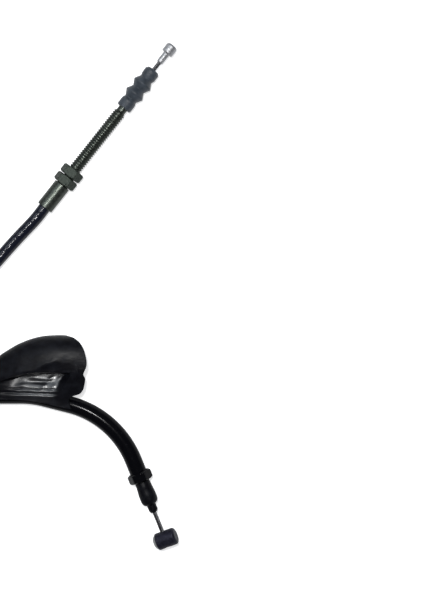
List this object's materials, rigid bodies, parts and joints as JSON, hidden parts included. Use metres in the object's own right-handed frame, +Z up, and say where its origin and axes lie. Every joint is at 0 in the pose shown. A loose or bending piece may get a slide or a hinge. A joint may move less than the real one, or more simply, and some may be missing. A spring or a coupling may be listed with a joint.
{
  "type": "motorcycle clutch cable",
  "caption": "Motorcycle clutch cable lying flat: black casing wound into a coil, threaded adjuster with lock nuts, bellows and nipple, bent guide pipe with rubber hood and barrel nipple.",
  "frame": {"origin": "on the floor, under the middle of the footprint of the fittings, without the casing", "axes": "+Z up from the floor the cable lies on, +Y across the floor toward the engine nipple's end, +X toward the side that both ends point to"},
  "size_m": [0.2476, 0.2437, 0.0186],
  "materials": {
    "bright_zinc": "bright zinc casting, satin",
    "dark_zinc": "darkened zinc casting with a bright worn end",
    "wire_steel": "stranded steel wire",
    "olive_steel": "dull olive plated steel",
    "grey_steel": "dull grey plated steel",
    "black_paint": "glossy black paint",
    "jacket": "glossy black vinyl jacket",
    "rubber": "soft black rubber with a low sheen",
    "slate_rubber": "matt slate rubber",
    "nylon": "natural nylon"
  },
  "bodies": {
    "cable": {"adjuster_screw": "olive_steel", "conduit_end": "wire_steel", "liner_engine_end": "nylon", "bellows_boot": "slate_rubber", "casing_engine_run": "jacket", "casing_coil": "jacket", "casing_lever_run": "jacket", "elbow_pipe": "black_paint", "elbow_collar": "black_paint", "outlet_bush": "grey_steel", "liner_lever_end": "nylon", "nose_seal": "rubber"},
    "lever_pull": {"lever_wire": "wire_steel", "lever_barrel_nipple": "dark_zinc"},
    "engine_pull": {"engine_wire": "wire_steel", "engine_nipple": "bright_zinc"},
    "lower_nut": {"lock_nut_lower": "grey_steel"},
    "upper_nut": {"lock_nut_upper": "grey_steel"},
    "boot": {"lever_boot": "rubber"}
  },
  "joints": [
    {"name": "lever_pull_slide", "type": "slide", "parent": "cable", "child": "lever_pull", "axis": [0.3746, -0.9272, 0], "range_m": [-0.006, 0.008]},
    {"name": "engine_pull_slide", "type": "slide", "parent": "cable", "child": "engine_pull", "axis": [0.6211, 0.7837, 0], "range_m": [-0.008, 0.006], "deforming": ["bellows_boot"]},
    {"name": "lower_nut_slide", "type": "slide", "parent": "cable", "child": "lower_nut", "axis": [0.6211, 0.7837, 0], "range_m": [0, 0.016]},
    {"name": "upper_nut_slide", "type": "slide", "parent": "lower_nut", "child": "upper_nut", "axis": [0.6211, 0.7837, 0], "range_m": [0, 0.018]},
    {"name": "boot_slide", "type": "slide", "parent": "cable", "child": "boot", "axis": [-1, 0, 0], "range_m": [0, 0.02]}
  ],
  "couplings": [
    {"joint": "engine_pull_slide", "follows": "lever_pull_slide", "ratio": -1}
  ]
}
